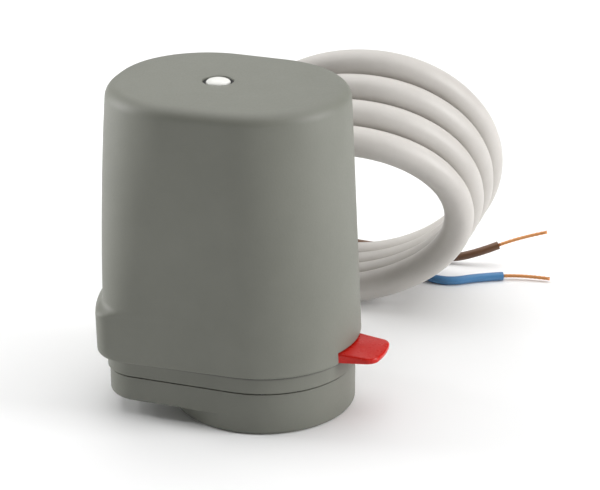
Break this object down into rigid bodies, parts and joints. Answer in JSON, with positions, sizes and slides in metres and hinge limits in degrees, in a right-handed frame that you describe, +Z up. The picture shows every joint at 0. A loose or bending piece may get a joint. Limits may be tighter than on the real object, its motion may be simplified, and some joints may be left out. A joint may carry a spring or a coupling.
{
  "type": "thermoelectric valve actuator",
  "caption": "Grey quick-fit heating valve actuator head with red release lever, white position pin on top and a coiled white cable ending in bare wires.",
  "frame": {"origin": "on the axis of the valve socket, at the rim of the collar", "axes": "+Z up along the valve axis towards the indicator, +X towards the release lever, +Y towards the side that the cable leaves"},
  "size_m": [0.0826, 0.1143, 0.0722],
  "materials": {
    "grey_shell": "satin",
    "grey_base": "satin",
    "red_lever": "gloss",
    "dark_moulding": "matte",
    "white_moulding": "matte",
    "white_pin": "gloss",
    "black_rubber": "matte",
    "steel": "satin",
    "spring_steel": "satin",
    "brass": "satin",
    "ceramic": "matte",
    "white_sheath": "matte",
    "brown_insulation": "matte",
    "blue_insulation": "matte",
    "copper": "satin"
  },
  "bodies": {
    "housing": {"casing": "grey_shell", "base": "grey_base", "casing_screws": "steel", "jaw_retainer": "steel", "retainer_screws": "steel", "wax_support": "dark_moulding", "support_screws": "steel", "lower_contact": "brass", "heater_disc": "ceramic", "upper_contact": "brass", "wax_cylinder": "brass", "indicator_seal": "black_rubber", "terminal_block": "white_moulding", "inner_core_brown": "brown_insulation", "inner_core_blue": "blue_insulation", "cable_gland": "white_moulding", "cable_clamp": "dark_moulding", "clamp_screws": "steel", "sheath_inside": "white_sheath", "cable_lead": "white_sheath", "cable_coil": "white_sheath", "cable_tail": "white_sheath", "core_brown": "brown_insulation", "core_blue": "blue_insulation", "strands_brown": "copper", "strands_blue": "copper"},
    "carriage": {"yoke": "dark_moulding", "plunger": "dark_moulding", "indicator_pin": "white_pin", "wax_piston": "steel", "closing_spring": "spring_steel"},
    "lever": {"release_lever": "red_lever"},
    "grip_a": {"jaw_a": "steel", "jaw_pin_a": "steel"},
    "grip_b": {"jaw_b": "steel", "jaw_pin_b": "steel"},
    "grip_c": {"jaw_c": "steel", "jaw_pin_c": "steel"}
  },
  "joints": [
    {"name": "valve_lift", "type": "slide", "parent": "housing", "child": "carriage", "axis": [0, 0, 1], "range_m": [0, 0.004], "stiffness_N_per_m": 3000, "springref_m": -0.018, "deforming": ["closing_spring"]},
    {"name": "lever_swing", "type": "hinge", "parent": "housing", "child": "lever", "pos_m": [0, 0, 0.015], "axis": [0, 0, 1], "range_deg": [0, 28]},
    {"name": "grip_slide_a", "type": "slide", "parent": "housing", "child": "grip_a", "axis": [0.5, 0.866, 0], "range_m": [0, 0.0016]},
    {"name": "grip_slide_b", "type": "slide", "parent": "housing", "child": "grip_b", "axis": [-1, 0, 0], "range_m": [0, 0.0016]},
    {"name": "grip_slide_c", "type": "slide", "parent": "housing", "child": "grip_c", "axis": [0.5, -0.866, 0], "range_m": [0, 0.0016]}
  ],
  "couplings": [
    {"joint": "lever_swing", "follows": "grip_slide_a", "rad_per_m": 305.3},
    {"joint": "grip_slide_b", "follows": "grip_slide_a", "ratio": 1},
    {"joint": "grip_slide_c", "follows": "grip_slide_a", "ratio": 1}
  ]
}
